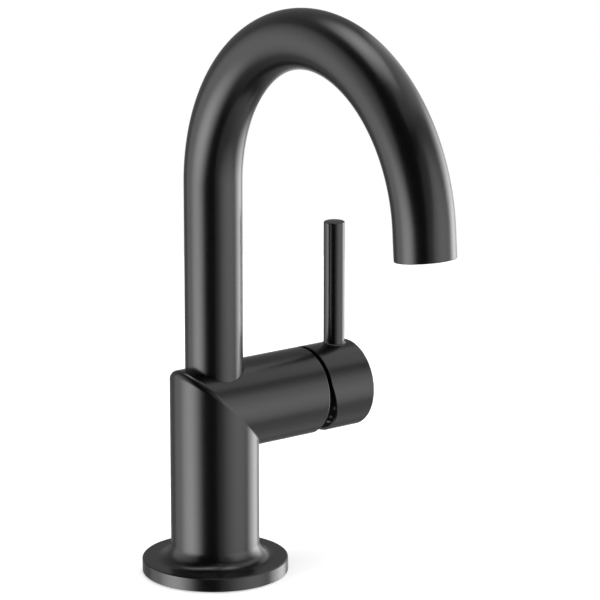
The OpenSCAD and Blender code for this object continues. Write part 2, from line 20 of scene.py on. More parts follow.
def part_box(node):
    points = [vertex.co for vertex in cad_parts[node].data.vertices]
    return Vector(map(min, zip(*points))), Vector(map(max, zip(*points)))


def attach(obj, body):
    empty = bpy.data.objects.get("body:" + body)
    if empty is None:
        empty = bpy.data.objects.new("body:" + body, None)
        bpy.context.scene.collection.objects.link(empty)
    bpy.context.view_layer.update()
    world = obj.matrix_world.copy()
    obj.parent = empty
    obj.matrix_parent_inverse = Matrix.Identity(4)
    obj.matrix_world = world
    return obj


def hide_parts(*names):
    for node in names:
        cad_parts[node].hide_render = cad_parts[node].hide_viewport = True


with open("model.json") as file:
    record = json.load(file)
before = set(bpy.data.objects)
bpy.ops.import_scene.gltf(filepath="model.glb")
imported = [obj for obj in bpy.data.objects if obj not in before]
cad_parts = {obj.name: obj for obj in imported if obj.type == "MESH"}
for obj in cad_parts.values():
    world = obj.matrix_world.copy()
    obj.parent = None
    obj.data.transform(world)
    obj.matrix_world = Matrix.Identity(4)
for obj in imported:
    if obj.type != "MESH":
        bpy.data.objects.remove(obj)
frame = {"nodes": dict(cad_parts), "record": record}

log = logging.getLogger("faucet")

MM = 0.001
FULL_TURN = 2 * pi
SHARP_ANGLE = radians(30)
MERGE_DISTANCE = 0.0005
PAST = 1.0
MOST_OF_NOISE = (0.3, 0.7)
WHITE = (1, 1, 1, 1)
UP = Vector((0, 0, 1))

Ring = list[BMEdge]
Point = tuple[float, float]
Outline = list[Point]
Colour = tuple[float, float, float]
Level = float | NodeSocket
Inputs = dict[str | int, object]


class Body(Enum):
    """Rigid bodies of the part."""

    FIXED = "body"
    HANDLE = "handle"
    CLAMP = "deck_clamp"


class Slot(Enum):
    """Material slots of the part's record."""

    SATIN_BLACK = "satin_black"
    BARE_BRASS = "bare_brass"
    ZINC_STEEL = "zinc_steel"
    BRIGHT_STEEL = "bright_steel"
    BLACK_STEEL = "black_steel"
    # Seal rubber, whose near-black colour also serves as painted shade in the cup liner.
    SEAL_RUBBER_AND_SHADE = "seal_rubber"
    GREY_PLASTIC = "grey_plastic"
    PALE_PLASTIC = "pale_plastic"
    BLACK_PLASTIC = "black_plastic"
    DISC_CERAMIC = "disc_ceramic"


class Axis(Enum):
    """Directions that a round piece can be turned about."""

    UP = "z"
    BARREL = "x"


@dataclass(frozen=True)
class Box:
    """Lowest and highest corner of a node at rest."""

    low: Vector
    high: Vector

    @classmethod
    def of(cls, node: str) -> "Box":
        """Reads a node's box from the frame.

        Args:
            node: Name of the node.

        Returns:
            The node's box. A round face's mesh falls a little short of its true radius, so each
            value is taken to the nearest 0.05 mm.
        """
        step = 0.05
        return cls(*(Vector([round(v / MM / step) * step for v in corner])
                     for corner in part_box(node)))

    @property
    def middle(self) -> Vector:
        """Centre of the box."""
        return (self.low + self.high) / 2


def arc(centre: Point, radius: float, start: float, end: float, steps: int) -> Outline:
    """Points along a circular arc.

    Args:
        centre: Centre of the arc in the plane of the outline.
        radius: Radius of the arc.
        start: Angle of the first point, in degrees.
        end: Angle of the last point, in degrees.
        steps: Number of chords.

    Returns:
        The points, with both ends.
    """
    points = []
    for i in range(steps + 1):
        angle = radians(start + (end - start) * i / steps)
        points.append((centre[0] + radius * cos(angle), centre[1] + radius * sin(angle)))
    return points


def moved(x: float = 0, y: float = 0, z: float = 0) -> Matrix:
    """A move along the axes."""
    return Matrix.Translation((x, y, z))


def sized(x: float, y: float, z: float = 1) -> Matrix:
    """A stretch along the axes."""
    return Matrix.Diagonal((x, y, z, 1))


def rotated(degrees: float, axis: str) -> Matrix:
    """A turn about an axis through the origin."""
    return Matrix.Rotation(radians(degrees), 4, axis)


def only(kind: type, items: list) -> list:
    """The items of one kind."""
    return [item for item in items if isinstance(item, kind)]


def ends(ring: Ring) -> list[BMVert]:
    """The points of a ring of edges."""
    return list({vert for edge in ring for vert in edge.verts})


class Shape:
    """A mesh that grows into one closed piece."""

    def __init__(self) -> None:
        """Starts with an empty mesh."""
        self.bm = bmesh.new()

    def ring(self, steps: int, radius: float = 1.0) -> Ring:
        """Adds a circle about Z at the origin and returns its edges."""
        made = bmesh.ops.create_circle(self.bm, segments=steps, radius=radius, cap_ends=False)
        return list({edge for vert in made["verts"] for edge in vert.link_edges})

    def extrude(self, ring: Ring, left: Matrix, right: Matrix | None = None) -> Ring:
        """Extrudes a ring of edges and moves the new ring.

        Args:
            ring: Edges of the last ring.
            left: Transform from the last ring to the new one.
            right: Transform of the points at positive X, where it differs.

        Returns:
            Edges of the new ring.
        """
        made = bmesh.ops.extrude_edge_only(self.bm, edges=ring)["geom"]
        verts = only(BMVert, made)
        beyond = [vert for vert in verts if vert.co.x > 0]
        before = [vert for vert in verts if vert.co.x <= 0]
        bmesh.ops.transform(self.bm, matrix=left, verts=before)
        bmesh.ops.transform(self.bm, matrix=right or left, verts=beyond)
        return [edge for edge in only(BMEdge, made) if all(vert in verts for vert in edge.verts)]

    def loft(self, steps: int, places: list[Matrix], others: list[Matrix] | None = None) -> None:
        """Sweeps a circle of radius 1 through a row of places and closes both ends.

        Args:
            steps: Number of edges in the circle.
            places: Transforms that lay the circle at each place.
            others: Transforms of the points at positive X, where they differ.
        """
        others = others or places
        ring = self.ring(steps)
        bmesh.ops.transform(self.bm, matrix=places[0], verts=ends(ring))
        bmesh.ops.contextual_create(self.bm, geom=ring)
        for i in range(1, len(places)):
            ring = self.extrude(ring, places[i] @ places[i - 1].inverted(),
                                others[i] @ others[i - 1].inverted())
        bmesh.ops.contextual_create(self.bm, geom=ring)

    def lathe(self, outline: Outline, axis: Axis, steps: int, at: Vector = Vector()) -> None:
        """Spins an outline into a closed round solid.

        Args:
            outline: Points of radius and height along the axis. A radius of 0 lies on the axis.
            axis: Direction of the axis.
            steps: Number of faces around it.
            at: A point on the axis.
        """
        verts = [self.bm.verts.new((radius, 0, height)) for radius, height in outline]
        edges = [self.bm.edges.new(pair) for pair in zip(verts, verts[1:])]
        if outline[0][0] > 0:
            edges.append(self.bm.edges.new((verts[-1], verts[0])))
        bmesh.ops.spin(self.bm, geom=verts + edges, cent=(0, 0, 0), axis=(0, 0, 1), angle=FULL_TURN,
                       steps=steps, use_merge=True)
        lay = rotated(90, "Y") if axis is Axis.BARREL else Matrix()
        bmesh.ops.transform(self.bm, matrix=moved(*at) @ lay, verts=self.bm.verts)

    def cut(self, place: Vector, way: Vector) -> Ring:
        """Cuts off what lies beyond a plane.

        Args:
            place: A point of the plane.
            way: Direction of what is cut off.

        Returns:
            Edges of the open cut.
        """
        whole = self.bm.verts[:] + self.bm.edges[:] + self.bm.faces[:]
        made = bmesh.ops.bisect_plane(self.bm, geom=whole, dist=MERGE_DISTANCE, plane_co=place,
                                      plane_no=way, clear_outer=True)
        return only(BMEdge, made["geom_cut"])

    def tidy(self) -> None:
        """Merges doubled points and turns every face outwards."""
        bmesh.ops.remove_doubles(self.bm, verts=self.bm.verts, dist=MERGE_DISTANCE)
        bmesh.ops.recalc_face_normals(self.bm, faces=self.bm.faces)

    def round_edges(self, edges: Ring, width: float, segments: int = 3) -> None:
        """Rounds edges with the bevel operator.

        Args:
            edges: Edges to round.
            width: Width of the rounding.
            segments: Number of faces across it.
        """
        bmesh.ops.bevel(self.bm, geom=edges, offset=width, offset_type="OFFSET", segments=segments,
                        profile=0.5, affect="EDGES", material=-1, clamp_overlap=True)

    def sharp_edges(self) -> Ring:
        """Edges at which two faces meet at a sharp angle."""
        return [edge for edge in self.bm.edges
                if len(edge.link_faces) == 2 and edge.calc_face_angle() > SHARP_ANGLE]

    def shade(self) -> None:
        """Makes faces smooth and marks the sharp edges."""
        for face in self.bm.faces:
            face.smooth = True
        for edge in self.sharp_edges():
            edge.smooth = False

    def piece(self, name: str) -> Object:
        """Turns the mesh into an object in metres.

        Args:
            name: Name of the piece.

        Returns:
            The object, at the origin, with its place in its mesh.
        """
        self.tidy()
        self.shade()
        bmesh.ops.scale(self.bm, vec=(MM, MM, MM), verts=self.bm.verts)
        mesh = bpy.data.meshes.new(name)
        self.bm.to_mesh(mesh)
        self.bm.free()
        thing = bpy.data.objects.new(name, mesh)
        bpy.context.scene.collection.objects.link(thing)
        return thing


def even_normals(thing: Object) -> None:
    """Lets the large faces set the shading next to a rounding."""
    finish = thing.modifiers.new("even_normals", "WEIGHTED_NORMAL")
    finish.keep_sharp = True
    finish.weight = 50


def carve(thing: Object, cutters: list[Shape]) -> None:
    """Cuts shapes out of a piece and shades it again.

    Args:
        thing: The piece, in metres.
        cutters: Shapes to take away from it.
    """
    for number, cutter in enumerate(cutters):
        knife = cutter.piece(f"cutter_{number}")
        cut = thing.modifiers.new("cut", "BOOLEAN")
        cut.operation = "DIFFERENCE"
        cut.solver = "EXACT"
        cut.object = knife
        ready = thing.evaluated_get(bpy.context.evaluated_depsgraph_get())
        mesh = bpy.data.meshes.new_from_object(ready)
        thing.modifiers.remove(cut)
        thing.data = mesh
        bpy.data.objects.remove(knife)
    again = Shape()
    again.bm.from_mesh(thing.data)
    bmesh.ops.remove_doubles(again.bm, verts=again.bm.verts, dist=MERGE_DISTANCE * MM)
    again.shade()
    again.bm.to_mesh(thing.data)
    again.bm.free()


def rod(radius: float, start: Vector, end: Vector, steps: int = 64) -> Shape:
    """A plain round bar, as a cutter.

    Args:
        radius: Radius of the bar.
        start: Middle of its first end.
        end: Middle of its last end.
        steps: Number of faces around it.

    Returns:
        The shape.
    """
    shape = Shape()
    way = end - start
    turn = UP.rotation_difference(way).to_matrix().to_4x4()
    place, size = moved(*start) @ turn, sized(radius, radius)
    shape.loft(steps, [place @ size, place @ moved(z=way.length) @ size])
    return shape


class Nodes:
    """A tree of nodes."""

    def __init__(self, tree: NodeTree) -> None:
        """Takes the tree."""
        self.tree = tree

    def add(self, kind: str, inputs: Inputs | None = None, **settings: object) -> Node:
        """Adds a node.

        Args:
            kind: Blender's name for the kind of shader node.
            inputs: What its inputs take.
            settings: Values of the node's own settings.

        Returns:
            The new node.
        """
        node = self.tree.nodes.new("ShaderNode" + kind)
        for name, value in settings.items():
            setattr(node, name, value)
        self.feed(node, inputs or {})
        return node

    def feed(self, node: Node, inputs: Inputs) -> None:
        """Gives inputs of a node a value or a link.

        Args:
            node: The node.
            inputs: A value, or the output to link, by the name or number of the input.
        """
        for name, value in inputs.items():
            if isinstance(value, NodeSocket):
                self.tree.links.new(value, node.inputs[name])
            else:
                node.inputs[name].default_value = value

    def seen(self, first: str, *others: str) -> NodeSocket:
        """Adds nodes that are 1 for some kinds of rays.

        Args:
            first: Output of the Light Path for the first kind of ray.
            others: Outputs for the other kinds.

        Returns:
            The output with that value.
        """
        path = self.add("LightPath")
        value = path.outputs[first]
        for name in others:
            either = self.add("Math", {0: value, 1: path.outputs[name]}, operation="MAXIMUM")
            value = either.outputs[0]
        return value

    def choose(self, factor: NodeSocket, low: Level, high: Level) -> NodeSocket:
        """Chooses the low level where the factor is 0, and the high one where it is 1."""
        return self.add("Mix", {0: factor, 2: low, 3: high}).outputs[0]


class NodeSheet(Nodes):
    """The node tree of one material."""

    def __init__(self, name: str) -> None:
        """Starts a material with its surface shader."""
        self.material = bpy.data.materials.new(name)
        self.material.use_nodes = True
        super().__init__(self.material.node_tree)
        self.surface = self.tree.nodes["Principled BSDF"]
        self.place = self.add("TexCoord").outputs["Object"]

    def noise(self, size: float, detail: float, stretch: Colour = (1, 1, 1)) -> NodeSocket:
        """Adds a noise pattern in the piece's own space.

        Args:
            size: Width of one patch, in millimetres.
            detail: Octaves of finer noise.
            stretch: How far the pattern is squeezed along each axis.

        Returns:
            The output with the noise's value.
        """
        lay = self.add("Mapping", {"Scale": stretch, "Vector": self.place})
        noise = self.add("TexNoise", {
            "Scale": 1 / (size * MM), "Detail": detail, "Vector": lay.outputs["Vector"]})
        return noise.outputs["Fac"]

    def spread(self, value: NodeSocket, low: float, high: float, target: str) -> None:
        """Maps a pattern onto a range and feeds it to the shader.

        Args:
            value: The pattern, around 0.5.
            low: Result for the pattern's low values.
            high: Result for its high values.
            target: Name of the shader's input.
        """
        least, most = MOST_OF_NOISE
        ranged = self.add("MapRange", {
            "Value": value, "From Min": least, "From Max": most, "To Min": low, "To Max": high})
        self.feed(self.surface, {target: ranged.outputs["Result"]})

    def tint(self, value: NodeSocket, dark: Colour, light: Colour) -> None:
        """Colours the surface between two tones.

        Args:
            value: The pattern, around 0.5.
            dark: Colour for its low values.
            light: Colour for its high values.
        """
        ramp = self.add("ValToRGB", {"Fac": value})
        for stop, place, colour in zip(ramp.color_ramp.elements, MOST_OF_NOISE, (dark, light)):
            stop.position = place
            stop.color = (*colour, 1)
        self.feed(self.surface, {"Base Color": ramp.outputs["Color"]})

    def bump(self, value: NodeSocket, height: float, strength: float = 0.5) -> None:
        """Raises a pattern from the surface.

        Args:
            value: The pattern.
            height: Height of the relief, in millimetres.
            strength: Share of it that shows.
        """
        bump = self.add("Bump", {
            "Height": value, "Strength": strength, "Distance": height * MM})
        self.feed(self.surface, {"Normal": bump.outputs["Normal"]})


def shaded(colour: Colour, share: float) -> Colour:
    """A colour made lighter or darker by a share of itself."""
    return tuple(channel * share for channel in colour)


@dataclass(frozen=True)
class Finish:
    """What every finish has: its slot, its colour and how evenly it shines."""

    slot: Slot
    colour: Colour
    roughness: tuple[float, float]
    spread: float = 0.08
    metallic: float = 0.0
    specular: float = 0.5

    def sheet(self) -> NodeSheet:
        """Starts the material with the values that are the same all over."""
        sheet = NodeSheet(self.slot.value)
        sheet.feed(sheet.surface, {
            "Metallic": self.metallic, "Specular IOR Level": self.specular})
        return sheet

    def tones(self) -> tuple[Colour, Colour]:
        """The darkest and the lightest tone of the colour."""
        return shaded(self.colour, 1 - self.spread), shaded(self.colour, 1 + self.spread)


@dataclass(frozen=True)
class SatinCoating(Finish):
    """A thin baked coating on metal: fine grain, with a slow drift in its gloss."""

    grain: float = 0.12
    grain_height: float = 0.001
    drift: float = 9.0

    def material(self) -> Material:
        """Builds the material."""
        sheet = self.sheet()
        sheet.tint(sheet.noise(self.drift, detail=2), *self.tones())
        sheet.spread(sheet.noise(self.drift / 3, detail=4), *self.roughness, "Roughness")
        sheet.bump(sheet.noise(self.grain, detail=2), self.grain_height)
        return sheet.material


@dataclass(frozen=True)
class TurnedMetal(Finish):
    """Metal with the fine lines of a lathe across its length."""

    metallic: float = 1.0
    line: float = 0.25
    line_height: float = 0.006
    stretch: Colour = (0.004, 0.004, 1.0)

    def material(self) -> Material:
        """Builds the material."""
        sheet = self.sheet()
        lines = sheet.noise(self.line, detail=3, stretch=self.stretch)
        sheet.tint(sheet.noise(size=6, detail=4), *self.tones())
        sheet.spread(lines, *self.roughness, "Roughness")
        sheet.bump(lines, self.line_height, strength=0.6)
        return sheet.material


@dataclass(frozen=True)
class ZincPlate(Finish):
    """Zinc plated steel: cloudy patches and a slightly pitted skin."""

    metallic: float = 1.0
    cloud: float = 3.0
    pit: float = 0.4
    pit_depth: float = 0.01

    def material(self) -> Material:
        """Builds the material."""
        sheet = self.sheet()
        clouds = sheet.noise(self.cloud, detail=5)
        sheet.tint(clouds, *self.tones())
        sheet.spread(clouds, *self.roughness, "Roughness")
        sheet.bump(sheet.noise(self.pit, detail=3), self.pit_depth)
        return sheet.material


@dataclass(frozen=True)
class Moulding(Finish):
    """Moulded rubber, plastic or ceramic: a matte skin with a faint texture of its mould."""

    skin: float = 0.5
    skin_height: float = 0.01

    def material(self) -> Material:
        """Builds the material."""
        sheet = self.sheet()
        sheet.tint(sheet.noise(size=4, detail=3), *self.tones())
        sheet.spread(sheet.noise(size=2, detail=4), *self.roughness, "Roughness")
        sheet.bump(sheet.noise(self.skin, detail=2), self.skin_height)
        return sheet.material


class Finishes:
    """The materials of the part, one for each slot of its record."""

    KINDS = (
        SatinCoating(Slot.SATIN_BLACK, (0.0015, 0.0015, 0.0016), (0.235, 0.265)),
        TurnedMetal(Slot.BARE_BRASS, (0.74, 0.55, 0.25), (0.24, 0.38)),
        ZincPlate(Slot.ZINC_STEEL, (0.62, 0.63, 0.64), (0.30, 0.46)),
        TurnedMetal(Slot.BRIGHT_STEEL, (0.66, 0.66, 0.67), (0.20, 0.32), spread=0.04),
        ZincPlate(Slot.BLACK_STEEL, (0.045, 0.045, 0.05), (0.38, 0.52), spread=0.2),
        # The seal rubber is near-black with a low specular level. It is real rubber on the seals,
        # and painted shade in the cup liner, where it keeps the gap as dark as deep shadow.
        Moulding(Slot.SEAL_RUBBER_AND_SHADE, (0.007, 0.007, 0.0075), (0.62, 0.78), spread=0.15,
                 specular=0.2),
        Moulding(Slot.GREY_PLASTIC, (0.38, 0.39, 0.41), (0.42, 0.52), spread=0.03),
        Moulding(Slot.PALE_PLASTIC, (0.74, 0.75, 0.76), (0.38, 0.48), spread=0.02),
        Moulding(Slot.BLACK_PLASTIC, (0.016, 0.016, 0.017), (0.42, 0.52)),
        Moulding(Slot.DISC_CERAMIC, (0.84, 0.83, 0.79), (0.10, 0.16), spread=0.02,
                 skin_height=0.001),
    )

    def __init__(self) -> None:
        """Builds every material."""
        self.materials = {kind.slot: kind.material() for kind in self.KINDS}

    def dress(self, thing: Object, slot: Slot) -> None:
        """Gives a new piece the material of its slot.

        Args:
            thing: The piece.
            slot: Slot that its finish comes from.
        """
        thing.data.materials.clear()
        thing.data.materials.append(self.materials[slot])

    def dress_nodes(self) -> None:
        """Gives every carried-over node the material of its slot."""
        for subpart in frame["record"]["subparts"]:
            node = frame["nodes"][subpart["node"]]
            for place in node.material_slots:
                place.material = self.materials[Slot(subpart["material_slot"])]


def settle(thing: Object, body: Body, *nodes: str) -> None:
    """Puts a finished piece on its body in place of its nodes.

    Args:
        thing: The piece.
        body: Body that it rides on.
        nodes: Nodes that it stands for.
    """
    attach(thing, body.value)
    if nodes:
        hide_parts(*nodes)
    log.info("%s: %d faces on %s", thing.name, len(thing.data.polygons), body.value)


@dataclass
class Casting:
    """Foot, column and side barrel, which meet in a mitred elbow."""

    steps: int = 160
    groove_in: float = 24.0
    groove_out: float = 28.5
    groove_depth: float = 1.2
    foot_bore_r: float = 16.7
    foot_bore_top: float = 30.0
    flange_t: float = 6.1
    flange_edge: float = 0.45
    base_edge: float = 0.3
    foot_round: float = 7.0
    seam_outer: float = 3.0
    seam_inner: float = 1.4
    seam_steps: int = 9
    rim_bevel: float = 0.5
    rim_drop: float = 0.25
    rim_lip: float = 0.4
    thread_r: float = 16.05
    thread_back: float = 39.0
    chamber_r: float = 14.3
    chamber_back: float = 20.0
    socket_gap: float = 0.17
    throat_r: float = 9.0
    throat_bottom: float = 62.0
    screw_r: float = 2.5
    screw_up: float = 4.5
    screw_side: float = 30.0

    def __post_init__(self) -> None:
        """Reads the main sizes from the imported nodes."""
        barrel, column, spout = Box.of("barrel"), Box.of("column"), Box.of("spout_tube")
        self.radius = barrel.high.y
        self.axis_h = barrel.high.z - self.radius
        self.reach = barrel.high.x
        self.flange_r = column.high.y
        self.socket_r = spout.high.x + self.socket_gap
        self.socket_z = spout.low.z

    def level(self, radius: float, height: float) -> Matrix:
        """Lays the circle flat at a height."""
        return moved(z=height) @ sized(radius, radius)

    def upright(self, radius: float, along: float) -> Matrix:
        """Stands the circle up around the barrel axis."""
        return Matrix((
            (0, 0, 1, along), (0, radius, 0, 0), (-radius, 0, 0, self.axis_h), (0, 0, 0, 1)))

    def seam(self, turned: float, corner_r: float) -> Matrix:
        """Lays the circle along the rounded seam of the elbow.

        A ball that rolls along the mitre leaves a rounding that narrows from the corner to nothing
        at the side, in step with X.

        Args:
            turned: How far the rounding has turned from the column to the barrel, in degrees.
            corner_r: Radius at the corner, negative for the corner at negative X.

        Returns:
            The transform.
        """
        across = 1 - cos(radians(turned))
        below = 1 - sin(radians(turned))
        return Matrix((
            (self.radius + corner_r * across, 0, 0, 0),
            (0, self.radius, 0, 0),
            (-self.radius - corner_r * below, 0, 1, self.axis_h),
            (0, 0, 0, 1)))

    def foot_outline(self) -> Outline:
        """Radius and height from the foot bore out to the column."""
        flange, edge, base = self.flange_r, self.flange_edge, self.base_edge
        hollow = self.radius + self.foot_round
        return [
            (self.foot_bore_r, self.foot_bore_top),
            (self.foot_bore_r, base), (self.foot_bore_r + base, 0),
            (self.groove_in, 0), (self.groove_in, self.groove_depth),
            (self.groove_out, self.groove_depth), (self.groove_out, 0),
            *arc((flange - base, base), base, -90, 0, steps=3),
            (flange, self.flange_t - edge), (flange - edge, self.flange_t),
            *arc((hollow, self.flange_t + self.foot_round), self.foot_round, -90, -180, steps=16),
        ]

    def rim_outline(self) -> Outline:
        """Radius and distance along the barrel, from its outside into the chamber."""
        lip = self.rim_lip
        return [
            (self.radius, self.reach - self.rim_bevel), (self.radius - self.rim_drop, self.reach),
            (self.thread_r + lip, self.reach), (self.thread_r, self.reach - lip),
            (self.thread_r, self.thread_back), (self.chamber_r, self.thread_back),
            (self.chamber_r, self.chamber_back),
        ]

    def build(self) -> Object:
        """Models the casting in one skin and bores it.

        Returns:
            The finished piece.
        """
        shape = Shape()
        turns = [90 * i / self.seam_steps for i in range(self.seam_steps + 1)]
        foot = [self.level(*point) for point in self.foot_outline()]
        rim = [self.upright(*point) for point in self.rim_outline()]
        outer = [self.seam(turned, -self.seam_outer) for turned in turns]
        inner = [self.seam(turned, self.seam_inner) for turned in turns]
        shape.loft(self.steps, foot + outer + rim, foot + inner + rim)
        casting = shape.piece("elbow_casting")
        side, far = radians(self.screw_side), 2 * self.radius
        top = UP * (self.axis_h + far)
        out = Vector((-sin(side), cos(side), 0))
        height = UP * (self.socket_z + self.screw_up)
        carve(casting, [
            rod(self.socket_r, UP * self.socket_z, top, steps=128),
            rod(self.throat_r, UP * self.throat_bottom, top, steps=96),
            rod(self.screw_r, height + out * self.throat_r, height + out * far, steps=48),
        ])
        even_normals(casting)
        return casting


@dataclass
class Spout:
    """The arched tube and its slanted outlet."""

    steps: int = 112
    arch_steps: int = 96
    wall: float = 1.6
    arch_r: float = 72.0
    arch_angle: float = 175.650515
    tail: float = 11.9
    cut_angle: float = 2.8
    outer_edge: float = 0.45
    inner_edge: float = 0.25

    def __post_init__(self) -> None:
        """Reads the tube's size and height from its node."""
        tube = Box.of("spout_tube")
        self.radius = tube.high.x
        self.foot_z = tube.low.z
        self.arch_z = tube.high.z - self.arch_r - self.radius

    def skin(self, shape: Shape, radius: float) -> tuple[Ring, Ring]:
        """Sweeps one wall of the tube from its foot to its outlet.

        Args:
            shape: Shape that takes the wall.
            radius: Radius of the wall.

        Returns:
            The rings at the foot and at the outlet.
        """
        foot = shape.ring(self.steps, radius)
        bmesh.ops.translate(shape.bm, vec=(0, 0, self.foot_z), verts=ends(foot))
        top = shape.extrude(foot, moved(z=self.arch_z - self.foot_z))
        centre = Vector((0, -self.arch_r, self.arch_z))
        turned = bmesh.ops.spin(shape.bm, geom=top, cent=centre, axis=(1, 0, 0),
                                angle=radians(self.arch_angle), steps=self.arch_steps)
        lay = moved(*centre) @ rotated(self.arch_angle, "X") @ moved(y=self.arch_r)
        slant = tan(radians(self.cut_angle))
        shear = Matrix(((1, 0, 0, 0), (0, 1, 0, 0), (0, -slant, 1, self.tail), (0, 0, 0, 1)))
        return foot, shape.extrude(only(BMEdge, turned["geom_last"]), lay @ shear @ lay.inverted())

    def build(self) -> Object:
        """Models the tube.

        Returns:
            The finished piece.
        """
        shape = Shape()
        outer_foot, outer_end = self.skin(shape, self.radius)
        inner_foot, inner_end = self.skin(shape, self.radius - self.wall)
        for outer, inner in ((outer_foot, inner_foot), (outer_end, inner_end)):
            bmesh.ops.bridge_loops(shape.bm, edges=outer + inner)
        shape.tidy()
        for end, width, segments in (
                (outer_end, self.outer_edge, 4), (inner_end, self.inner_edge, 2)):
            shape.round_edges([edge for edge in end if edge.is_valid], width, segments)
        tube = shape.piece("spout_arch")
        even_normals(tube)
        return tube


@dataclass
class Hub:
    """The cup on the barrel's end that carries the lever."""

    steps: int = 144
    end_edge: float = 0.45
    back_edge: float = 0.2
    wall: float = 1.1
    hollow: float = 7.7
    relief_angle: float = 13.1
    relief_start: float = 6.4
    lever_gap: float = 0.1
    lever_seat: float = 16.0
    tenon_r: float = 3.0
    tenon_len: float = 6.7
    stem_half: float = 4.05
    stem_end: float = 65.2
    screw_x: float = 62.0
    screw_r: float = 2.5
    plug_r: float = 3.05
    plug_t: float = 2.1

    def __post_init__(self) -> None:
        """Reads the cup's place from its node and the lever's from its own."""
        cup, lever = Box.of("handle_hub"), Box.of("lever_rod")
        self.radius = cup.high.y
        self.back = cup.low.x
        self.end = cup.high.x
        self.axis_h = cup.middle.z
        self.lever_x = lever.middle.x
        self.lever_r = lever.high.y

    def build(self) -> Object:
        """Models the cup, with the relief on the lower half of its back.

        Returns:
            The finished piece.
        """
        edge, rim = self.end_edge, self.back_edge
        bore, floor = self.radius - self.wall, self.back + self.hollow
        shape = self.relieved([
            (0, floor), (bore, floor), (bore, self.back), (self.radius - rim, self.back),
            (self.radius, self.back + rim),
            *arc((self.radius - edge, self.end - edge), edge, 0, 90, steps=4), (0, self.end)])
        cup = shape.piece("lever_cup")
        carve(cup, self.cutters())
        even_normals(cup)
        return cup

    def relieved(self, outline: Outline, inset: float = 0.0) -> Shape:
        """Spins an outline about the barrel axis and cuts the slanted relief into its back.

        Args:
            outline: Points of radius and X.
            inset: How far the cut lies behind the cup's own.

        Returns:
            The closed shape.
        """
        shape = Shape()
        shape.lathe(outline, Axis.BARREL, self.steps, UP * self.axis_h)
        shape.tidy()
        angle = radians(self.relief_angle)
        start = Vector((self.back + inset, 0, self.axis_h + self.relief_start))
        shape.cut(start, Vector((-cos(angle), 0, -sin(angle))))
        open_edges = [edge for edge in shape.bm.edges if edge.is_boundary]
        bmesh.ops.holes_fill(shape.bm, edges=open_edges, sides=0)
        return shape

    def cutters(self) -> list[Shape]:
        """The seats of the stem, the lever, the set screw and its plug."""
        z, far = self.axis_h, 2 * self.radius
        seat = z + self.lever_seat
        socket, long, wide = Shape(), self.stem_end - self.back, 2 * self.stem_half
        bmesh.ops.create_cube(socket.bm, size=1,
                              matrix=moved(self.back + long / 2, 0, z) @ sized(long, wide, wide))
        return [socket] + [
            rod(radius, Vector((x, 0, start)), Vector((x, 0, end)), steps)
            for radius, x, start, end, steps in (
                (self.lever_r + self.lever_gap, self.lever_x, seat, z + far, 64),
                (self.tenon_r, self.lever_x, seat - self.tenon_len, z + far, 48),
                (self.screw_r, self.screw_x, z, z - far, 48),
                (self.plug_r, self.screw_x, z - self.radius + self.plug_t, z - far, 48))]


@dataclass(frozen=True)
class Lug:
    """A small moulded lug: its place across and above the barrel axis, and its form."""

    across: float
    above: float
    radius: float
    sides: int
    turn: float = 0.0
    stretch: float = 1.0


@dataclass
class PaintedShadeLiner:
    """A near-black liner in the cup's hollow: painted shade that keeps the gap as dark as deep
    shadow.
    """

    hub: Hub = field(default_factory=Hub)
    wall: float = 0.6
    inset: float = 0.6
    hole_r: float = 6.2
    lug_h: float = 0.8

    def __post_init__(self) -> None:
        """Works out the liner's face, which the lugs stand on."""
        self.bottom = self.hub.back + self.hub.hollow
        self.face = self.bottom - self.wall

    def build(self) -> Object:
        """Models the liner, cut back behind the cup's own relief.

        Returns:
            The finished piece.
        """
        bore, mouth = self.hub.radius - self.hub.wall, self.hub.back + self.inset
        shape = self.hub.relieved([
            (self.hole_r, self.bottom), (bore, self.bottom), (bore, mouth),
            (bore - self.wall, mouth), (bore - self.wall, self.face), (self.hole_r, self.face)],
            self.inset)
        # The liner's near-black rubber is painted shade in the gap, not a part that shows light of
        # its own.
        return shape.piece("painted_shade_liner")


@dataclass
class StopLugs(PaintedShadeLiner):
    """The pale lugs on the liner's face, of which three show in the gap."""

    lugs: tuple[Lug, ...] = (
        Lug(-11.9, -7.4, 1.0, 3, 40, 0.8), Lug(-9.0, -11.9, 0.5, 20),
        Lug(-7.7, -14.4, 0.4, 20, 10, 3.4))

    def build(self) -> Object:
        """Models each lug as a prism.

        Returns:
            The finished piece.
        """
        shape = Shape()
        for lug in self.lugs:
            place = (moved(self.face, lug.across, self.hub.axis_h + lug.above)
                     @ rotated(-90, "Y") @ rotated(lug.turn, "Z") @ sized(1, lug.stretch))
            foot = bmesh.ops.create_circle(shape.bm, segments=lug.sides, radius=lug.radius,
                                           cap_ends=True, matrix=place)["verts"]
            made = bmesh.ops.extrude_face_region(shape.bm, geom=foot[0].link_faces[:])["geom"]
            bmesh.ops.translate(shape.bm, vec=(-self.lug_h, 0, 0), verts=only(BMVert, made))
        return shape.piece("stop_lugs")


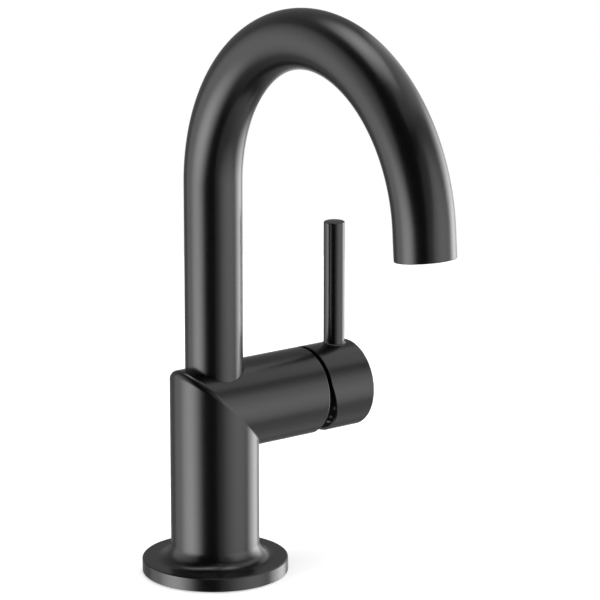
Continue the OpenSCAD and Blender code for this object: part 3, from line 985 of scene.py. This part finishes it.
@dataclass
class Lever:
    """The slim upright rod, whose foot flares out onto the cup."""

    steps: int = 80
    top_edge: float = 0.5
    top_in: float = 0.1
    top_down: float = 0.2
    foot_edge: float = 0.35
    foot_seat: float = 16.0
    flare: float = 0.8
    flare_sink: float = 0.1
    tenon_r: float = 2.95
    tenon_edge: float = 0.5

    def outline(self, radius: float, bottom: float, seat: float, crown: float,
                top: float) -> Outline:
        """Radius and height of the rod from its tenon to its top.

        Args:
            radius: Radius of the rod.
            bottom: Height of the tenon's end.
            seat: Height of the rod's seat in the cup.
            crown: Height of the cup's top.
            top: Height of the rod's top.

        Returns:
            The outline, with the flare level with the crown.
        """
        tenon, edge, flare = self.tenon_r, self.top_edge, self.flare
        sink = crown - self.flare_sink
        return [
            (0, bottom), (tenon - self.tenon_edge, bottom), (tenon, bottom + self.tenon_edge),
            (tenon, seat), (radius - self.foot_edge, seat), (radius, seat + self.foot_edge),
            (radius, sink), (radius + flare, sink),
            *arc((radius + flare, crown + flare), flare, -90, -180, steps=6),
            (radius, top - edge), (radius - self.top_in, top - self.top_down),
            (radius - edge, top), (0, top)]

    def build(self) -> Object:
        """Models the rod, and bends its flare down around the cup.

        Returns:
            The finished piece.
        """
        box, cup = Box.of("lever_rod"), Box.of("handle_hub")
        axis_h, cup_r = cup.middle.z, cup.high.y
        crown = axis_h + cup_r
        shape = Shape()
        outline = self.outline(box.high.y, box.low.z, axis_h + self.foot_seat, crown, box.high.z)
        shape.lathe(outline, Axis.UP, self.steps, Vector((box.middle.x, 0, 0)))
        for vert in shape.bm.verts:
            if abs(vert.co.z - crown) < self.flare + self.flare_sink:
                vert.co.z += sqrt(cup_r ** 2 - vert.co.y ** 2) - cup_r
        lever = shape.piece("lever_bar")
        even_normals(lever)
        return lever


@dataclass
class Bonnet:
    """The dark dome between the barrel and the cup."""

    steps: int = 96
    seat: float = 3.0
    hole_r: float = 10.0
    nose_r: float = 11.8
    lip: float = 0.4

    def build(self) -> Object:
        """Models the dome as a domed ring.

        Returns:
            The finished piece.
        """
        box, lip = Box.of("bonnet_cover"), self.lip
        radius, back, nose = box.high.y, box.low.x, box.high.x
        shape = Shape()
        outline = [
            (self.hole_r, back), (radius, back), (radius, back + self.seat - lip),
            (radius - lip, back + self.seat), (self.nose_r + lip, nose - lip),
            (self.nose_r - lip, nose), (self.hole_r + lip, nose), (self.hole_r, nose - lip)]
        shape.lathe(outline, Axis.BARREL, self.steps, UP * box.middle.z)
        dome = shape.piece("bonnet_dome")
        even_normals(dome)
        return dome


@dataclass
class Stud:
    """The stud of the deck fixing, threaded from end to end."""

    pitch: float = 1.25
    depth: float = 0.65
    flank: float = 0.4
    crest: float = 0.12
    steps: int = 24
    chamfer: float = 0.8

    def __post_init__(self) -> None:
        """Reads the stud's size from its node."""
        self.box = Box.of("mounting_stud")
        self.radius = (self.box.high.x - self.box.low.x) / 2

    def wind(self, shape: Shape) -> None:
        """Winds one turn of the thread's outline up past both ends of the stud.

        Args:
            shape: Empty shape that takes the thread.
        """
        root, low = self.radius - self.depth, self.box.low.z - 2 * self.pitch
        turns = ceil((self.box.high.z - low) / self.pitch) + 2
        fall = self.flank + self.crest
        outline = [(root, 0), (self.radius, self.flank), (self.radius, fall),
                   (root, fall + self.flank), (root, 1)]
        verts = [shape.bm.verts.new((radius, 0, low + share * self.pitch))
                 for radius, share in outline]
        edges = [shape.bm.edges.new(pair) for pair in zip(verts, verts[1:])]
        bmesh.ops.spin(shape.bm, geom=verts + edges, cent=(0, 0, 0), axis=(0, 0, 1),
                       angle=FULL_TURN, steps=self.steps, dvec=(0, 0, self.pitch / self.steps))
        first = shape.bm.verts[:] + shape.bm.edges[:] + shape.bm.faces[:]
        for number in range(1, turns):
            copy = bmesh.ops.duplicate(shape.bm, geom=first)["geom"]
            bmesh.ops.translate(shape.bm, vec=(0, 0, number * self.pitch), verts=only(BMVert, copy))
        bmesh.ops.remove_doubles(shape.bm, verts=shape.bm.verts, dist=MERGE_DISTANCE)

    def build(self) -> Object:
        """Models the thread, trims its ends and turns off the lower one.

        Returns:
            The finished piece.
        """
        shape = Shape()
        self.wind(shape)
        for height, side in ((self.box.low.z, -1), (self.box.high.z, 1)):
            bmesh.ops.contextual_create(shape.bm, geom=shape.cut(UP * height, UP * side))
        for vert in shape.bm.verts:
            room = self.radius - self.chamfer + vert.co.z - self.box.low.z
            share = min(1.0, room / vert.co.xy.length)
            vert.co.x, vert.co.y = vert.co.x * share, vert.co.y * share
        bmesh.ops.translate(shape.bm, vec=(*self.box.middle.xy, 0), verts=shape.bm.verts)
        return shape.piece("threaded_stud")


def ease_edges(thing: Object, width: float) -> None:
    """Softens the sharp edges of a piece.

    Args:
        thing: The piece.
        width: Width of the rounding, in millimetres.
    """
    bevel = thing.modifiers.new("eased_edges", "BEVEL")
    bevel.width = width * MM
    bevel.segments = 2
    bevel.limit_method = "ANGLE"
    bevel.angle_limit = SHARP_ANGLE
    even_normals(thing)


@dataclass
class DeckNut:
    """The nut of the deck fixing, its corners turned off at both ends."""

    sides: int = 6
    steps: int = 64
    bore_gap: float = 0.05
    face: float = 0.3
    slope: float = 30.0
    lip: float = 0.7
    edge: float = 0.08

    def build(self) -> Object:
        """Models the nut.

        Returns:
            The finished piece.
        """
        box = Box.of("mounting_nut")
        at, low, high = Vector((*box.middle.xy, 0)), box.low.z, box.high.z
        flats, bore = box.high.y - at.y, Stud().radius + self.bore_gap
        corner = flats / cos(pi / self.sides)
        nut = Shape()
        nut.loft(self.sides, [moved(at.x, at.y, height) @ sized(corner, corner) @ rotated(90, "Z")
                              for height in (low, high)])
        thing = nut.piece("deck_nut")
        start, out, deep = flats - self.face, corner + PAST, self.lip + PAST
        drop = (out - start) * tan(radians(self.slope))
        cutters = [rod(bore, at + UP * (low - PAST), at + UP * (high + PAST))]
        for height, up in ((high, 1), (low, -1)):
            over, under = height + up * PAST, height - up * deep
            for outline in (
                    [(start, height), (start, over), (out, over), (out, height - up * drop)],
                    [(0, over), (bore + deep, over), (bore - PAST, under), (0, under)]):
                cutter = Shape()
                cutter.lathe(outline, Axis.UP, self.steps, at)
                cutters.append(cutter)
        carve(thing, cutters)
        ease_edges(thing, self.edge)
        return thing


@dataclass
class DeckPlate:
    """A plate of the deck fixing, open on one side for the hoses."""

    node: str
    name: str
    slot_x: float = -2.0
    slot_w: float = 27.0
    hole_gap: float = 0.35
    edge: float = 0.4
    steps: int = 160

    def build(self) -> Object:
        """Models the plate.

        Returns:
            The finished piece.
        """
        box, stud, slot = Box.of(self.node), Stud(), Shape()
        radius, low, high = box.high.y, box.low.z, box.high.z
        thing = rod(radius, UP * low, UP * high, self.steps).piece(self.name)
        place = moved(self.slot_x + radius, 0, box.middle.z)
        size = sized(2 * radius, self.slot_w, high - low + 2 * PAST)
        bmesh.ops.create_cube(slot.bm, size=1, matrix=place @ size)
        at = Vector((*stud.box.middle.xy, 0))
        hole = rod(stud.radius + self.hole_gap, at + UP * (low - PAST), at + UP * (high + PAST))
        carve(thing, [slot, hole])
        ease_edges(thing, self.edge)
        return thing


@dataclass(frozen=True)
class Softbox:
    """A soft rectangular lamp that faces the object.

    The azimuth counts from the camera's side, positive to its right. It, the elevation, the roll
    and the spread are in degrees. Sizes are in metres, and the radiance is the brightness of its
    face, seen straight on. A narrow spread darkens the face towards its edges.
    """

    name: str
    azimuth: float
    elevation: float
    width: float
    height: float
    radiance: float
    roll: float = 0.0
    spread: float = 180.0
    away: float = 1.6

    def hang(self, way: Vector, aim: Vector) -> None:
        """Hangs the lamp.

        Args:
            way: Direction from the object to the lamp.
            aim: Point that it faces.
        """
        data = bpy.data.lights.new(self.name, "AREA")
        data.shape = "RECTANGLE"
        data.size, data.size_y = self.width, self.height
        data.spread = radians(self.spread)
        half = data.spread / 2
        face = self.width * self.height
        data.energy = self.radiance * pi * face * (1 - half / tan(half))
        lamp = bpy.data.objects.new(self.name, data)
        lamp.location = aim + way * self.away
        roll = Quaternion((0, 0, 1), radians(self.roll))
        lamp.rotation_euler = (way.to_track_quat("Z", "Y") @ roll).to_euler()
        lamp.visible_camera = False
        bpy.context.scene.collection.objects.link(lamp)


@dataclass
class Studio:
    """Camera, floor, backdrop and lamps."""

    azimuth: float = -37.105
    elevation: float = 14.169
    distance: float = 1.46863
    aim_up: float = 0.12258
    aim_right: float = 0.037434
    lens: float = 203.055
    sensor: float = 36.0
    floor_r: float = 0.6
    floor_down: float = 0.0003
    floor_colour: Colour = (0.8, 0.8, 0.8)
    floor_roughness: float = 0.9
    floor_glow: float = 0.4
    fill: float = 0.35
    room_stops: tuple[Point, ...] = ((0.35, 0.0), (0.62, 0.27), (0.975, 0.27), (0.995, 1.0))
    softboxes: tuple[Softbox, ...] = (
        Softbox("left_strip", -62, -25, 2.0, 8.0, 6.1, 10, 66),
        Softbox("left_box", -83, -2, 2.8, 3.5, 2.0, 14, 104),
        Softbox("front_card", 57, -27, 3.0, 9.0, 0.48, 20, 175),
        Softbox("right_box", 63, -3, 5.0, 1.8, 2.35, 58, 92),
        Softbox("rim_box", 122, -8, 1.4, 2.4, 6.3, 3, 70),
        Softbox("top_box", 184, 79, 1.2, 1.6, 5.0, 18, 65),
        Softbox("upper_card", 85, 38, 2.2, 1.2, 0.45, 0, 110),
        Softbox("high_card", 130, 44, 9.0, 1.05, 0.75, -55, 178),
    )

    def __post_init__(self) -> None:
        """Works out the camera's axes."""
        turn, lift = radians(self.azimuth), radians(self.elevation)
        self.right = Vector((cos(turn), sin(turn), 0))
        self.back = Vector((sin(turn) * cos(lift), -cos(turn) * cos(lift), sin(lift)))
        self.aim = UP * self.aim_up + self.right * self.aim_right

    def direction(self, azimuth: float, elevation: float) -> Vector:
        """A direction around the object.

        Args:
            azimuth: Degrees from the camera's side, positive to the camera's right.
            elevation: Degrees above the horizon.

        Returns:
            The unit vector.
        """
        front = Vector((self.back.x, self.back.y, 0)).normalized()
        turn, lift = radians(azimuth), radians(elevation)
        flat = front * cos(turn) + self.right * sin(turn)
        return flat * cos(lift) + UP * sin(lift)

    def camera(self) -> None:
        """Places the camera at the photograph's viewing angle."""
        data = bpy.data.cameras.new("camera")
        data.lens = self.lens
        data.sensor_fit = "HORIZONTAL"
        data.sensor_width = self.sensor
        view = bpy.data.objects.new("camera", data)
        up = self.back.cross(self.right)
        axes = Matrix((self.right, up, self.back)).transposed()
        view.matrix_world = moved(*(self.aim + self.back * self.distance)) @ axes.to_4x4()
        bpy.context.scene.collection.objects.link(view)
        bpy.context.scene.camera = view

    def floor(self) -> None:
        """Lays a round pale floor that keeps the shadow of the object.

        Lamps that reach below it still show in the object, as the photograph has them.
        """
        shape = Shape()
        bmesh.ops.create_circle(shape.bm, segments=128, radius=self.floor_r / MM, cap_ends=True,
                                matrix=moved(z=-self.floor_down / MM))
        floor = shape.piece("pale_floor")
        floor.visible_glossy = floor.visible_shadow = False
        sheet = NodeSheet("pale_floor")
        seen = sheet.seen("Is Camera Ray", "Is Glossy Ray", "Is Transmission Ray")
        glow = sheet.add("Math", {0: seen, 1: self.floor_glow}, operation="MULTIPLY")
        sheet.feed(sheet.surface, {
            "Base Color": (*self.floor_colour, 1), "Roughness": self.floor_roughness,
            "Specular IOR Level": 0.0, "Emission Color": WHITE,
            "Emission Strength": glow.outputs[0]})
        floor.data.materials.append(sheet.material)

    def world(self) -> None:
        """Makes the backdrop white where it is seen, and an even grey for diffuse light."""
        world = bpy.data.worlds.new("studio")
        world.use_nodes = True
        bpy.context.scene.world = world
        nodes = Nodes(world.node_tree)
        mirrored = nodes.choose(nodes.seen("Is Glossy Ray"), self.fill, self.room(nodes))
        white = nodes.seen("Is Camera Ray", "Is Transmission Ray")
        nodes.feed(nodes.tree.nodes["Background"], {
            "Color": WHITE, "Strength": nodes.choose(white, mirrored, 1.0)})

    def room(self, nodes: Nodes) -> NodeSocket:
        """Adds the room's brightness by direction.

        It is dark round the camera and white behind the object.

        Args:
            nodes: Tree that takes the nodes.

        Returns:
            The output with the brightness.
        """
        place = nodes.add("TexCoord").outputs["Generated"]
        behind = self.direction(180, -self.elevation)
        facing = nodes.add("VectorMath", {0: place, 1: behind}, operation="DOT_PRODUCT")
        ranged = nodes.add("MapRange", {"Value": facing.outputs["Value"], "From Min": -1})
        ramp = nodes.add("ValToRGB", {"Fac": ranged.outputs["Result"]})
        ramp.color_ramp.interpolation = "EASE"
        stops = ramp.color_ramp.elements
        while len(stops) < len(self.room_stops):
            stops.new(1)
        for stop, (position, grey) in zip(stops, self.room_stops):
            stop.position = position
            stop.color = (grey, grey, grey, 1)
        return ramp.outputs["Color"]

    def build(self) -> None:
        """Sets up the whole studio."""
        bpy.context.scene.view_settings.view_transform = "Standard"
        self.camera()
        self.floor()
        self.world()
        for softbox in self.softboxes:
            softbox.hang(self.direction(softbox.azimuth, softbox.elevation), self.aim)


def main() -> None:
    """Builds the faucet around its frame, and the studio."""
    logging.basicConfig(level=logging.INFO, format="%(name)s: %(message)s")
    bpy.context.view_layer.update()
    Studio().build()
    finishes = Finishes()
    finishes.dress_nodes()
    for maker, slot, body, nodes in (
        (Casting(), Slot.SATIN_BLACK, Body.FIXED, ("column", "barrel")),
        (Spout(), Slot.SATIN_BLACK, Body.FIXED, ("spout_tube",)),
        (Bonnet(), Slot.SATIN_BLACK, Body.FIXED, ("bonnet_cover",)),
        (Hub(), Slot.SATIN_BLACK, Body.HANDLE, ("handle_hub",)),
        # The liner's near-black rubber is painted shade in the cup's hollow.
        (PaintedShadeLiner(), Slot.SEAL_RUBBER_AND_SHADE, Body.HANDLE, ()),
        (StopLugs(), Slot.GREY_PLASTIC, Body.HANDLE, ()),
        (Lever(), Slot.SATIN_BLACK, Body.HANDLE, ("lever_rod",)),
        (Stud(), Slot.ZINC_STEEL, Body.FIXED, ("mounting_stud",)),
        (DeckNut(), Slot.BARE_BRASS, Body.CLAMP, ("mounting_nut",)),
        (DeckPlate("horseshoe_bracket", "clamp_plate"), Slot.ZINC_STEEL, Body.CLAMP,
         ("horseshoe_bracket",)),
    ):
        thing = maker.build()
        finishes.dress(thing, slot)
        settle(thing, body, *nodes)


if __name__ == "__main__":
    main()
